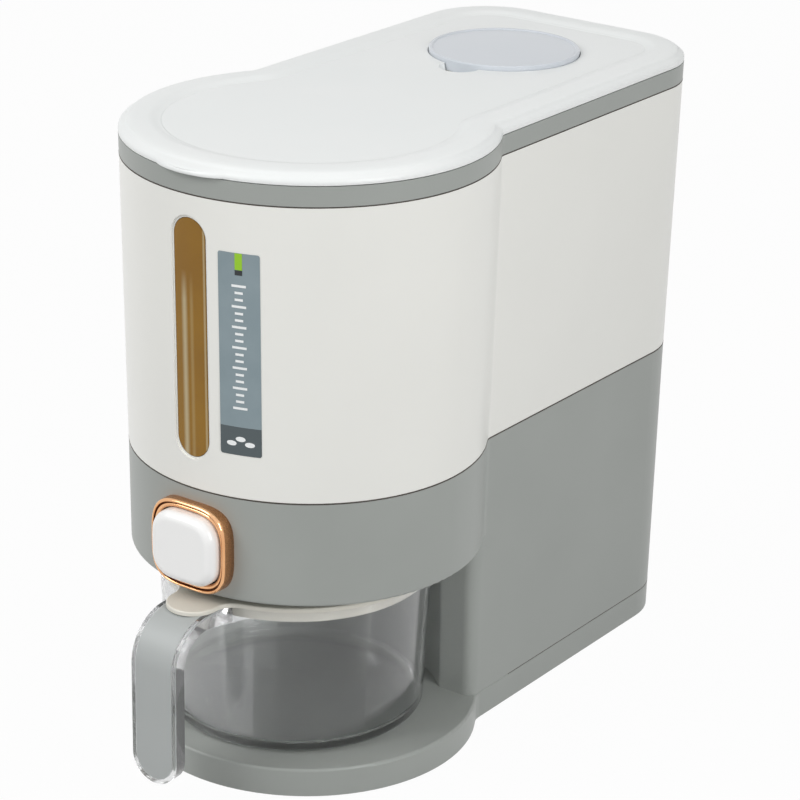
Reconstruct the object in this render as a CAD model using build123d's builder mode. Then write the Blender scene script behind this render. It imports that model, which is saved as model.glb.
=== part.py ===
"""Rice dispenser with a pull-out measuring cup, built piece by piece in millimetres.

The casing is a round drum in front joined to a box behind, in four storeys: plinth, grey lower
housing with the cup's bay, white hopper shell and the rim that the lid closes on. A square button
pushes a shutter under the hopper, and rice falls into the clear cup below.
Front is -Y, up is +Z, and Z = 0 is the surface that the feet stand on.
"""
from build123d import *
from math import asin, atan2, degrees, radians, sin, sqrt, tan
import os

# ---------------------------------------------------------------- driving dimensions, in mm
# Plan of the casing, at floor level
drum_radius = 80.6
box_half_width = 67.5
box_rear = 221.9            # rear face, behind the drum's axis
rear_corner = 34.0
crease_radius = 10.0        # soft inward corner where the drum runs into the box
lower_draft = 0.0106        # outward lean of the grey storeys, mm per mm of height
upper_draft = 0.0168        # outward lean of the white storeys

# Storeys, from the floor up
foot_proud = 0.6
plinth_height = 14.2
bay_height = 81.5
skirt_height = 49.5
shell_height = 135.3
band_height = 9.3
lid_height = 5.7

# Walls and clearances
wall = 2.6
tray_thick = 3.0
drum_floor = 2.6
fit_gap = 0.25              # between two fixed pieces, one inside the other
slide_gap = 0.3             # between pieces that move past each other
touch_gap = 0.05            # between curved faces that rest on each other
seam_chamfer = 0.5
plinth_edge = 1.3
skirt_edge = 1.4

# Cup bay
cup_back = -8.6             # cup's axis, from the drum's axis
bay_radius = 68.6
flank_back = 39.4           # flat faces either side of the bay
flank_corner = 5.0
bay_edge = 3.0

# Plinth underside
foot_radius = 7.5
foot_height = 3.0
foot_boss_wall = 2.0
foot_lip = 1.0
rib_thick = 2.0
rib_rise = 2.4              # ribs stop this far above the floor
rib_pitch = 34.0
foot_side = 50.0
front_foot_side = 42.0
front_foot_back = -40.0
rear_foot_back = 182.0
base_screw_front = 64.0
base_screw_rear = 150.0
screw_radius = 1.5
screw_head_radius = 3.2
screw_head_height = 1.9
screw_play = 0.05
boss_wall = 2.6
boss_root = 0.8             # how far a boss runs into the wall beside it
base_screw_length = 16.0
base_screw_seat = 5.0       # height of the heads' seat above the floor

# Hopper floor
funnel_wall = 2.2
outlet_width = 44.0
outlet_depth = 7.5
outlet_back = -8.6
slope_rear = 20.0
slope_side = 38.0
slope_front = 36.0
liner_low = 16.0            # liner's lower edge below the seam
liner_high = 5.0            # liner's upper edge above the seam
ledge_width = 3.0
ledge_thick = 3.0

# Shutter and chute
chute_drop = 1.4            # chute's mouth below the drum's floor
chute_wall = 2.0
chute_flange = 1.5
guide_plate = 1.6
guide_rail = 4.6
gate_width = 58.0
gate_thick = 2.4
gate_rear = 22.0            # shutter's rear edge, behind the outlet
gate_front = 40.0           # shutter's front edge, ahead of the outlet
guide_margin = 12.0
guide_post_radius = 4.2
guide_screw_length = 9.0
post_height = 7.0

# Button
button_rise = 22.8          # centre above the drum's underside
button_travel = 8.0
cap_width = 35.5
cap_height = 33.0
cap_bulge = 1.0
cap_corner = 11.0
cap_face = 91.7             # face ahead of the drum's axis
cap_skin = 2.4
cap_depth = 11.6
cap_round = 4.2
cap_gap = 0.4
bezel_size = 41.6
bezel_corner = 13.4
bezel_bulge = 0.9
bezel_face = 86.6
bezel_sleeve = 1.2
sleeve_reach = 10.0         # sleeve behind the drum's skin
bezel_round = 1.6
bezel_step_depth = 0.9
bezel_groove = 0.45
retainer_wall = 3.6
retainer_thick = 2.0
stem_radius = 3.5
stem_drop = 7.0             # stem below the button's centre
stem_play = 0.06
arm_thick = 4.0
arm_width = 14.0
collar_radius = 7.0
collar_thick = 1.8
spring_post_back = -57.0
spring_post_thick = 2.6
spring_post_width = 26.0
spring_radius = 5.4
spring_wire = 0.9
spring_turns = 5
wire_sides = 8              # the wire is drawn with flats, which keeps its faces few

# Sight window
window_width = 17.6
window_sill = 14.8          # above the seam
window_head = 10.5          # below the rim band
window_length = shell_height - window_sill - window_head
window_recess = 0.8
window_margin = 1.1
window_flange = 3.6
window_flange_thick = 1.6
window_gasket_thick = 0.8

# Rim band and lid
band_skirt = 5.0
band_wall = 2.2
lid_gap = 0.4
lid_lip = 1.3               # upright part of the lid's outer edge
lid_rise = 4.2              # height of the rounded shoulder over it, up to where it flattens
lid_shoulder = 4.0          # shoulder's width at that height
lid_crown = 9.0             # inset of the rim's crest
lid_rim = 13.0              # inset where the rim starts to fall to the recess
lid_slope = 5.0             # width of the soft slope inside the rim
lid_recess = 1.3
lid_skin = 2.2
lid_plug_gap = 1.0
lid_plug_wall = 2.0
lid_plug_depth = 11.0
gasket_height = 2.6
gasket_groove = 1.0
gasket_drop = 5.0
tab_width = 36.0
tab_reach = 2.8
tab_thick = 2.2

# Desiccant cap and box
cap_back = 150.2
disc_radius = 36.2
disc_gap = 0.5
disc_thick = 3.0
disc_rise = 2.2             # disc's edge above the lid's recess
disc_dome = 0.6
disc_ring = 1.6
disc_skirt = 7.0
disc_skirt_wall = 2.0
well_wall = 2.0
well_ledge = 5.9
well_floor = 2.0
dry_box_depth = 16.0
dry_box_wall = 1.6
dry_box_floor = 1.6
dry_box_flange = 2.4        # flange that is welded under the well
dry_slots = 12
dry_slot_width = 2.4
notch_taper = 15.0          # slope of the notch's walls, from upright
notch_width = 20.0
notch_depth = 5.0
seal_wire = 1.4

# Cup
cup_headroom = 4.9          # cup lid's flange under the drum
cup_foot_gap = 0.3
cup_foot_radius = 60.2
cup_rim_radius = 63.3
cup_wall = 2.2
cup_floor = 3.4
cup_corner = 4.2
cup_flange = 66.5
cup_flange_thick = 2.0
cup_plug_depth = 6.8
cup_plug_wall = 2.2
cup_plug_gap = 0.3
cup_lid_mouth = 30.0
cup_lid_dish = 3.2
cup_lid_edge = 0.7
thumb_width = 24.6
thumb_back = 15.7           # thumb tab's tip, behind the handle's outer face

# Handle
handle_face = 110.3         # outer face ahead of the drum's axis
handle_width = 25.0
handle_thick = 6.5
handle_root = 9.2           # thickness where it leaves the cup
handle_bend = 22.0
handle_tip = 11.0           # lowest point above the floor
inlay_width = 20.6
inlay_thick = 2.0
inlay_end = 13.0            # inlay runs on past the bend by this much
thumb_reach = handle_face + cup_back - thumb_back

# ---------------------------------------------------------------- levels and places worked out
base_top = plinth_height
bay_top = base_top + bay_height
seam = bay_top + skirt_height
band_low = seam + shell_height
band_high = band_low + band_height
lid_low = band_high + lid_gap
lid_high = band_high + lid_height
floor_top = bay_top + drum_floor
button_height = bay_top + button_rise
stem_height = button_height - stem_drop
sleeve_width = cap_width + 2 * (cap_gap + bezel_sleeve)
sleeve_height = cap_height + 2 * (cap_gap + bezel_sleeve)
sleeve_rear = -(drum_radius - sleeve_reach)
retainer_width = sleeve_width + 2 * retainer_wall
retainer_height = sleeve_height + 2 * retainer_wall


def draft_at(height):
    """How far the drafted casing stands out at a height, past its size at the floor."""
    return lower_draft * min(height, seam) + upper_draft * max(height - seam, 0.0)


# The origin lies under the middle of the whole object, from the handle's face to the rear
drum_y = (handle_face - box_rear - draft_at(lid_low + lid_lip)) / 2


def at(height, back=0.0):
    """Level plane at a height, with its origin behind the drum's axis by back."""
    return Plane((0, drum_y + back, height))


def facing(back, height):
    """Upright plane across the body, looking at it from the front."""
    return Plane((0, drum_y + back, height), x_dir=(1, 0, 0), z_dir=(0, -1, 0))


def side_on(across=0.0):
    """Upright plane along the body: local x runs back from the drum's axis, local y is height."""
    return Plane((across, drum_y, 0), x_dir=(0, 1, 0), z_dir=(1, 0, 0))


def lean(low, high):
    """Outward taper of the casing between two heights, in degrees, as extrude wants it."""
    return -degrees(atan2(draft_at(high) - draft_at(low), high - low))


def outline(height, inset=0.0):
    """Plan of the casing at a height, set in from its surface: drum in front, box behind."""
    reach = draft_at(height) - inset
    drum = drum_radius + reach
    half = box_half_width + reach
    rear = box_rear + reach
    crease = crease_radius - reach
    corner = rear_corner + reach
    crease_back = sqrt((drum + crease) ** 2 - (half + crease) ** 2)
    turn = degrees(atan2(crease_back, half + crease))
    with BuildSketch(at(height), mode=Mode.PRIVATE) as plan:
        with BuildLine():
            CenterArc((0, 0), drum, 180 - turn, 180 + 2 * turn)
            hollow = CenterArc((half + crease, crease_back), crease, 180, turn)
            flank = Line((half, crease_back), (half, rear - corner))
            bend = CenterArc((half - corner, rear - corner), corner, 0, 90)
            Line((half - corner, rear), (corner - half, rear))
            mirror([hollow, flank, bend], about=Plane.YZ)
        make_face()
    return plan.sketch.face()


def casing(low, high, inset=0.0):
    """Drafted solid of the casing's plan between two heights."""
    with BuildPart(mode=Mode.PRIVATE) as block:
        extrude(outline(low, inset), amount=high - low, taper=lean(low, high))
    return block.part


def casing_wall(low, high, outer, inner):
    """Wall between two insets of the casing, between two heights."""
    with BuildPart(mode=Mode.PRIVATE) as band:
        add(casing(low, high, outer))
        add(casing(low, high, inner), mode=Mode.SUBTRACT)
    return band.part


def box_plan(height, inset=0.0):
    """Plan of the box behind the bay: straight flanks, round rear corners, hollow for the cup."""
    reach = draft_at(height) - inset
    half = box_half_width + reach
    rear = box_rear + reach
    front = flank_back - reach
    with BuildSketch(at(height), mode=Mode.PRIVATE) as plan:
        with BuildLine():
            Polyline((-half, front), (half, front), (half, rear), (-half, rear), close=True)
        make_face()
        fillet(plan.vertices().group_by(Axis.Y)[-1], rear_corner + reach)
        with Locations((0, cup_back)):
            Circle(bay_radius - reach, mode=Mode.SUBTRACT)
        fillet(plan.vertices().group_by(Axis.Y)[0].sort_by(Axis.X)[::3], flank_corner + reach)
        fillet(plan.vertices().group_by(Axis.Y)[0].sort_by(Axis.X)[1:3], bay_edge + reach)
    return plan.sketch.face()


def soft_square(width, height, bulge, corner):
    """Square outline with bowed sides and round corners, drawn in the open sketch."""
    half_w = width / 2 - bulge
    half_h = height / 2 - bulge
    with BuildSketch(mode=Mode.PRIVATE) as shape:
        with BuildLine():
            ThreePointArc((-half_w, -half_h), (0, -height / 2), (half_w, -half_h))
            ThreePointArc((half_w, -half_h), (width / 2, 0), (half_w, half_h))
            ThreePointArc((half_w, half_h), (0, height / 2), (-half_w, half_h))
            ThreePointArc((-half_w, half_h), (-width / 2, 0), (-half_w, -half_h))
        make_face()
        fillet(shape.vertices(), corner)
    return shape.sketch


def spots(side, back):
    """A pair of places either side of the middle, at a distance behind the drum's axis."""
    return [(-side, back), (side, back)]


def screws(places, seat, length):
    """Pan-head screws on a level plane: heads below their seat, shanks above it."""
    with BuildPart(mode=Mode.PRIVATE) as group:
        with BuildSketch(at(seat)):
            with Locations(*places):
                Circle(screw_head_radius)
        extrude(amount=-screw_head_height)
        with BuildSketch(at(seat)):
            with Locations(*places):
                Circle(screw_radius)
        extrude(amount=length)
    return group.part


# ---------------------------------------------------------------- plinth, feet and screws
tray_under = base_top - tray_thick
boss_radius = screw_radius + boss_wall
base_screw_side = box_half_width - wall - boss_radius + boss_root
foot_places = spots(front_foot_side, front_foot_back) + spots(foot_side, rear_foot_back)
base_screw_places = spots(base_screw_side, base_screw_front) + spots(base_screw_side, base_screw_rear)

with BuildPart() as plinth_ribs:
    with BuildSketch(at(rib_rise)):
        with Locations((0, (box_rear - drum_radius) / 2)):
            with GridLocations(rib_pitch, 0, 3, 1):
                Rectangle(rib_thick, box_rear + drum_radius)
            with GridLocations(0, rib_pitch, 1, 8):
                Rectangle(2 * drum_radius, rib_thick)
    extrude(amount=tray_under - rib_rise)
    add(casing(rib_rise, tray_under, wall / 2), mode=Mode.INTERSECT)

with BuildPart() as base_plinth:
    add(casing(foot_proud, base_top))
    fillet(base_plinth.edges().group_by(Axis.Z)[-1], plinth_edge)
    add(casing(foot_proud, tray_under, wall), mode=Mode.SUBTRACT)
    add(plinth_ribs.part)
    with BuildSketch(at(foot_height - foot_lip)):
        with Locations(*foot_places):
            Circle(foot_radius + fit_gap + foot_boss_wall)
    extrude(amount=tray_under - foot_height + foot_lip)
    with BuildSketch(at(foot_height - foot_lip)):
        with Locations(*foot_places):
            Circle(foot_radius + fit_gap)
    extrude(amount=foot_lip, mode=Mode.SUBTRACT)
    with BuildSketch(at(rib_rise)):
        with Locations(*base_screw_places):
            Circle(screw_head_radius + boss_wall)
    extrude(amount=tray_under - rib_rise)
    with BuildSketch(at(0)):
        with Locations(*base_screw_places):
            Circle(screw_head_radius + fit_gap)
    extrude(amount=base_screw_seat, mode=Mode.SUBTRACT)
    with BuildSketch(at(0)):
        with Locations(*base_screw_places):
            Circle(screw_radius + screw_play)
    extrude(amount=base_top, mode=Mode.SUBTRACT)

with BuildPart() as rubber_feet:
    with BuildSketch(at(0)):
        with Locations(*foot_places):
            Circle(foot_radius)
    extrude(amount=foot_height)
    chamfer(rubber_feet.edges().group_by(Axis.Z)[0], foot_proud)

with BuildPart() as base_screws:
    add(screws(base_screw_places, base_screw_seat, base_screw_length))

# ---------------------------------------------------------------- lower housing
ledge_top = seam - liner_low
chute_outer_width = outlet_width + 2 * chute_wall
chute_outer_depth = outlet_depth + 2 * chute_wall
post_side = gate_width / 2 + guide_rail + guide_post_radius
post_places = spots(post_side, outlet_back - guide_margin) + spots(post_side, outlet_back + guide_margin)

with BuildPart() as housing_cavity:
    extrude(box_plan(base_top, wall), amount=floor_top - base_top, taper=lean(base_top, floor_top))
    add(casing(floor_top, seam, wall))

# Room behind the drum's skin for the bezel's sleeve and its retainer
with BuildPart() as bezel_room:
    with BuildSketch(facing(sleeve_rear + slide_gap, button_height)):
        add(soft_square(retainer_width + 2 * slide_gap, retainer_height + 2 * slide_gap, cap_bulge, cap_corner))
    extrude(amount=drum_radius)

# Ledge inside the housing that the hopper floor's liner stands on
with BuildPart() as liner_ledge:
    add(casing_wall(ledge_top - ledge_thick, ledge_top, wall, wall + ledge_width))
    add(bezel_room.part, mode=Mode.SUBTRACT)

with BuildPart() as lower_housing:
    add(casing(bay_top, seam))
    fillet(lower_housing.edges().group_by(Axis.Z)[0], skirt_edge)
    chamfer(lower_housing.edges().group_by(Axis.Z)[-1], seam_chamfer)
    extrude(box_plan(base_top), amount=bay_height + skirt_edge, taper=lean(base_top, bay_top))
    add(housing_cavity.part, mode=Mode.SUBTRACT)
    add(liner_ledge.part)
    # Bosses for the screws that come up through the plinth
    with BuildSketch(at(base_top)):
        with Locations(*base_screw_places):
            Circle(boss_radius)
    extrude(amount=base_screw_length)
    with BuildSketch(at(base_top)):
        with Locations(*base_screw_places):
            Circle(screw_radius + screw_play)
    extrude(amount=base_screw_length - base_top + base_screw_seat + screw_play, mode=Mode.SUBTRACT)
    # Holes in the drum's floor for the chute and the shutter's screws
    with BuildSketch(at(bay_top, outlet_back)):
        Rectangle(chute_outer_width + 2 * fit_gap, chute_outer_depth + 2 * fit_gap)
    extrude(amount=drum_floor, mode=Mode.SUBTRACT)
    with BuildSketch(at(bay_top)):
        with Locations(*post_places):
            Circle(screw_radius + screw_play)
    extrude(amount=drum_floor, mode=Mode.SUBTRACT)
    # Opening for the button's bezel, through the drum's skin
    with BuildSketch(facing(0, button_height)):
        add(soft_square(sleeve_width + 2 * fit_gap, sleeve_height + 2 * fit_gap, cap_bulge, cap_corner))
    extrude(amount=drum_radius + bezel_size, mode=Mode.SUBTRACT)

# ---------------------------------------------------------------- hopper floor
chute_flange_top = floor_top + chute_flange
guide_top = chute_flange_top + guide_plate
gate_low = guide_top + slide_gap
rail_top = gate_low + gate_thick + slide_gap
liner_inset = wall + fit_gap
slope_top = seam + shell_height / 2


def hopper_slopes(thickness):
    """Four plane slopes that fall to the outlet, moved outward by a thickness."""
    rise = slope_top - rail_top
    side = outlet_width / 2 + thickness / sin(radians(slope_side))
    front = outlet_depth / 2 + thickness / sin(radians(slope_front))
    rear = outlet_depth / 2 + thickness / sin(radians(slope_rear))
    side_run = rise / tan(radians(slope_side))
    front_run = rise / tan(radians(slope_front))
    rear_run = rise / tan(radians(slope_rear))
    with BuildPart(mode=Mode.PRIVATE) as pit:
        with BuildSketch(at(rail_top, outlet_back)):
            with BuildLine():
                Polyline((-side, -front), (side, -front), (side, rear), (-side, rear), close=True)
            make_face()
        with BuildSketch(at(slope_top, outlet_back)):
            with BuildLine():
                Polyline((-side - side_run, -front - front_run), (side + side_run, -front - front_run),
                         (side + side_run, rear + rear_run), (-side - side_run, rear + rear_run),
                         close=True)
            make_face()
        loft(ruled=True)
    return pit.part


# Liner that stands on the ledge, hugs both casings and carries the slopes
with BuildPart() as liner:
    add(casing_wall(rail_top, slope_top, liner_inset, liner_inset + funnel_wall))
    split(bisect_by=at(ledge_top), keep=Keep.TOP)

with BuildPart() as liner_collar:
    add(liner.part)
    split(bisect_by=at(seam + liner_high), keep=Keep.BOTTOM)

with BuildPart() as hopper_funnel:
    add(hopper_slopes(funnel_wall))
    add(casing(rail_top, slope_top, liner_inset), mode=Mode.INTERSECT)
    add(liner.part)
    add(hopper_slopes(0.0), mode=Mode.SUBTRACT)
    add(liner_collar.part)
    add(bezel_room.part, mode=Mode.SUBTRACT)

# ---------------------------------------------------------------- chute, guide and shutter
guide_width = gate_width + 2 * (slide_gap + guide_rail)
guide_front = outlet_back - gate_front + button_travel
guide_rear = outlet_back + gate_rear
chute_flange_depth = chute_outer_depth + 2 * guide_margin


with BuildPart() as outlet_chute:
    with BuildSketch(at(floor_top, outlet_back)):
        Rectangle(guide_width, chute_flange_depth)
    extrude(amount=chute_flange)
    with BuildSketch(at(floor_top, outlet_back)):
        Rectangle(chute_outer_width, chute_outer_depth)
    extrude(amount=-drum_floor - chute_drop)
    with BuildSketch(at(chute_flange_top, outlet_back)):
        Rectangle(outlet_width, outlet_depth)
    extrude(amount=-chute_flange - drum_floor - chute_drop, mode=Mode.SUBTRACT)
    with BuildSketch(at(floor_top)):
        with Locations(*post_places):
            Circle(guide_post_radius)
            Circle(screw_radius + screw_play, mode=Mode.SUBTRACT)
    extrude(amount=chute_flange)

with BuildPart() as gate_guide:
    with BuildSketch(at(chute_flange_top)):
        with Locations((0, (guide_front + guide_rear) / 2)):
            Rectangle(guide_width, guide_rear - guide_front)
        with Locations((0, outlet_back)):
            Rectangle(outlet_width, outlet_depth, mode=Mode.SUBTRACT)
    extrude(amount=guide_plate)
    with BuildSketch(at(guide_top, (guide_front + guide_rear) / 2)):
        with GridLocations(guide_width - guide_rail, 0, 2, 1):
            Rectangle(guide_rail, guide_rear - guide_front)
    extrude(amount=rail_top - guide_top)
    with BuildSketch(at(chute_flange_top)):
        with Locations(*post_places):
            Circle(guide_post_radius)
    extrude(amount=post_height)
    with BuildSketch(at(chute_flange_top)):
        with Locations(*post_places):
            Circle(screw_radius + screw_play)
    extrude(amount=guide_screw_length - drum_floor - chute_flange + screw_play, mode=Mode.SUBTRACT)

with BuildPart() as guide_screws:
    add(screws(post_places, bay_top, guide_screw_length))

gate_front_edge = outlet_back - gate_front
gate_rear_edge = outlet_back + gate_rear - button_travel
with BuildPart() as gate_slide:
    with BuildSketch(at(gate_low)):
        with Locations((0, (gate_front_edge + gate_rear_edge) / 2)):
            Rectangle(gate_width, gate_rear_edge - gate_front_edge)
        with Locations((0, outlet_back - button_travel)):
            Rectangle(outlet_width, outlet_depth, mode=Mode.SUBTRACT)
    extrude(amount=gate_thick)
    fillet(gate_slide.edges().filter_by(Axis.Z).group_by(Axis.Y)[0], gate_thick)

# ---------------------------------------------------------------- button, bezel and spring
cap_rear = -(cap_face - cap_depth)
spring_front = cap_rear + collar_thick
arm_back = gate_front_edge

with BuildPart() as button_cap:
    with BuildSketch(facing(cap_rear, button_height)):
        add(soft_square(cap_width, cap_height, cap_bulge, cap_corner))
    extrude(amount=cap_depth)
    fillet(button_cap.edges().group_by(Axis.Y)[0], cap_round)
    with BuildSketch(facing(cap_rear, button_height)):
        add(soft_square(cap_width - 2 * cap_skin, cap_height - 2 * cap_skin, cap_bulge,
                        cap_corner - cap_skin))
    extrude(amount=cap_depth - cap_skin, mode=Mode.SUBTRACT)

with BuildPart() as button_stem:
    with BuildSketch(facing(arm_back, stem_height)):
        Circle(stem_radius)
    extrude(amount=cap_face - cap_skin + arm_back)
    with BuildSketch(facing(spring_front, stem_height)):
        Circle(collar_radius)
    extrude(amount=collar_thick)
    with BuildSketch(at(gate_low + gate_thick, arm_back + arm_thick / 2)):
        Rectangle(arm_width, arm_thick)
    extrude(amount=stem_height + stem_radius - gate_low - gate_thick)

with BuildPart() as button_bezel:
    with BuildSketch(facing(0, button_height)):
        add(soft_square(bezel_size, bezel_size, bezel_bulge, bezel_corner))
    extrude(amount=bezel_face)
    fillet(button_bezel.edges().group_by(Axis.Y)[0], bezel_round)
    with BuildSketch(facing(-bezel_face, button_height)):
        add(soft_square(sleeve_width + 2 * bezel_groove, sleeve_height + 2 * bezel_groove, cap_bulge,
                        cap_corner + cap_gap))
    extrude(amount=-bezel_step_depth, mode=Mode.SUBTRACT)
    add(casing(bay_top, seam), mode=Mode.SUBTRACT)
    with BuildSketch(facing(sleeve_rear, button_height)):
        add(soft_square(sleeve_width, sleeve_height, cap_bulge, cap_corner))
    extrude(amount=bezel_face - bezel_step_depth / 2 + sleeve_rear)
    with BuildSketch(facing(sleeve_rear, button_height)):
        add(soft_square(cap_width + 2 * cap_gap, cap_height + 2 * cap_gap, cap_bulge, cap_corner))
    extrude(amount=bezel_face, mode=Mode.SUBTRACT)

# The retainer lies flat across the drum's curved inside, and touches it near its own ends
skin_inside = drum_radius + draft_at(button_height - retainer_height / 2) - wall
retainer_front = -sqrt(skin_inside ** 2 - (retainer_width / 2) ** 2) + slide_gap
with BuildPart() as bezel_retainer:
    with BuildSketch(facing(retainer_front, button_height)):
        add(soft_square(retainer_width, retainer_height, cap_bulge, cap_corner))
        add(soft_square(sleeve_width + fit_gap, sleeve_height + fit_gap, cap_bulge, cap_corner),
            mode=Mode.SUBTRACT)
    extrude(amount=-retainer_thick)
    add(casing(floor_top + slide_gap, seam), mode=Mode.INTERSECT)

with BuildPart() as spring_post:
    with BuildSketch(facing(spring_post_back, floor_top)):
        with BuildLine():
            half_post = spring_post_width / 2
            post_eye = stem_height - floor_top
            Line((-half_post, 0), (half_post, 0))
            Line((half_post, 0), (half_post, post_eye))
            ThreePointArc((half_post, post_eye), (0, post_eye + half_post), (-half_post, post_eye))
            Line((-half_post, post_eye), (-half_post, 0))
        make_face()
        with Locations((0, post_eye)):
            Circle(stem_radius + stem_play, mode=Mode.SUBTRACT)
    extrude(amount=-spring_post_thick)
    with BuildSketch(at(floor_top, spring_post_back + spring_post_thick)):
        Rectangle(spring_post_width, spring_post_thick, align=(Align.CENTER, Align.MIN))
    extrude(amount=drum_floor)

# The spring is one open helix between the stem's collar and the post
spring_length = spring_post_back - spring_front - 2 * slide_gap
spring_lead = (spring_length - spring_wire) / spring_turns
with BuildPart() as return_spring:
    with BuildLine():
        coil_start = facing(spring_post_back - slide_gap - spring_wire / 2, stem_height)
        coil = Helix(pitch=spring_lead, height=spring_lead * spring_turns, radius=spring_radius,
                     center=coil_start.origin, direction=coil_start.z_dir)
    with BuildSketch(Plane(coil @ 0, z_dir=coil % 0)):
        RegularPolygon(spring_wire / 2, wire_sides)
    sweep(path=coil)

# ---------------------------------------------------------------- white shell and window
window_height = seam + window_sill + window_length / 2


def window_slab(margin, outer, inner):
    """Piece of the drum's skin inside the window's outline, between two insets."""
    with BuildPart(mode=Mode.PRIVATE) as slab:
        with BuildSketch(facing(0, window_height)):
            SlotOverall(window_length + 2 * margin, window_width + 2 * margin, rotation=90)
        extrude(amount=drum_radius + window_width)
        add(casing(seam, band_low, outer), mode=Mode.INTERSECT)
        add(casing(seam, band_low, inner), mode=Mode.SUBTRACT)
    return slab.part


with BuildPart() as upper_shell:
    add(casing(seam, band_low))
    chamfer(upper_shell.edges().group_by(Axis.Z)[0], seam_chamfer)
    add(casing(seam, band_low, wall), mode=Mode.SUBTRACT)
    add(window_slab(0, -window_recess, wall + window_recess), mode=Mode.SUBTRACT)
    add(window_slab(window_margin, -window_recess, window_recess), mode=Mode.SUBTRACT)

gasket_inset = wall + touch_gap + window_gasket_thick
with BuildPart() as sight_window:
    add(window_slab(-fit_gap, window_recess, gasket_inset + touch_gap + window_flange_thick))
    add(window_slab(window_flange, gasket_inset + touch_gap, gasket_inset + touch_gap + window_flange_thick))

with BuildPart() as window_gasket:
    add(window_slab(window_flange, wall + touch_gap, gasket_inset))
    add(window_slab(0, wall, gasket_inset + touch_gap), mode=Mode.SUBTRACT)

# ---------------------------------------------------------------- rim band
band_inner = wall + fit_gap + band_wall
with BuildPart() as rim_band:
    add(casing(band_low, band_high))
    chamfer(rim_band.edges().group_by(Axis.Z)[0], seam_chamfer)
    add(casing(band_low - band_skirt, band_low, wall + fit_gap))
    add(casing(band_low - band_skirt, band_high, band_inner), mode=Mode.SUBTRACT)

# ---------------------------------------------------------------- lid and its gasket
recess_floor = lid_high - lid_recess
skin_low = recess_floor - lid_skin
plug_inset = band_inner + lid_plug_gap
plug_low = lid_low - lid_plug_depth
gasket_high = lid_low - gasket_drop
well_radius = disc_radius + disc_gap
well_low = recess_floor - disc_skirt
ledge_radius = well_radius - well_ledge
notch_back = cap_back - well_radius

lip_top = lid_low + lid_lip
shoulder_top = lid_low + lid_rise
tab_front = drum_radius + draft_at(lid_low) + tab_reach
tab_chord = sqrt((tab_front - tab_reach) ** 2 - (tab_width / 2) ** 2)
tab_radius = ((tab_width / 2) ** 2 + (tab_front - tab_chord) ** 2) / (2 * (tab_front - tab_chord))

with BuildPart() as lid_shell:
    # Upright lip, then a shoulder that leans in, then the rim's flatter crown
    add(casing(lid_low, lip_top))
    extrude(outline(lip_top), amount=shoulder_top - lip_top,
            taper=degrees(atan2(lid_shoulder, shoulder_top - lip_top)))
    extrude(outline(shoulder_top, lid_shoulder), amount=lid_high - shoulder_top,
            taper=degrees(atan2(lid_crown - lid_shoulder, lid_high - shoulder_top)))
    # Finger tab at the front: a crescent lip
    with BuildSketch(at(lid_low)):
        with Locations((0, tab_radius - tab_front)):
            Circle(tab_radius)
    extrude(amount=tab_thick)
    # Shallow recess inside the rim with a soft slope down to it, and the hollow underneath
    extrude(outline(recess_floor, lid_rim + lid_slope), amount=lid_recess,
            taper=-degrees(atan2(lid_slope, lid_recess)), mode=Mode.SUBTRACT)
    add(casing(lid_low, skin_low, plug_inset), mode=Mode.SUBTRACT)
    # Plug that drops inside the rim band, with a groove for the gasket
    add(casing_wall(plug_low, skin_low, plug_inset, plug_inset + lid_plug_wall))
    add(casing_wall(gasket_high - gasket_height, gasket_high, plug_inset - fit_gap,
                    plug_inset + gasket_groove), mode=Mode.SUBTRACT)
    # Well for the desiccant cap, with a ledge that the cap stands on
    with BuildSketch(at(well_low - well_floor, cap_back)):
        Circle(well_radius + well_wall)
    extrude(amount=recess_floor - well_low + well_floor)
    # Finger notch at the cap's front edge
    with BuildSketch(at(recess_floor - notch_depth - lid_skin, notch_back)):
        Circle(notch_width / 2 + well_wall)
    extrude(amount=notch_depth + lid_skin)
    with BuildSketch(at(recess_floor, notch_back)):
        Circle(notch_width / 2)
    extrude(amount=-notch_depth, taper=notch_taper, mode=Mode.SUBTRACT)
    with BuildSketch(at(recess_floor, cap_back)):
        Circle(well_radius)
    extrude(amount=well_low - recess_floor, mode=Mode.SUBTRACT)
    with BuildSketch(at(well_low - well_floor, cap_back)):
        Circle(ledge_radius)
    extrude(amount=well_floor, mode=Mode.SUBTRACT)

with BuildPart() as lid_gasket:
    add(casing_wall(gasket_high - gasket_height, gasket_high, band_inner + slide_gap,
                    plug_inset + gasket_groove))

# ---------------------------------------------------------------- desiccant cap, box and seal
disc_low = well_low + slide_gap
disc_high = recess_floor + disc_rise
skirt_radius = ledge_radius - slide_gap
box_low = well_low - dry_box_depth

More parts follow.
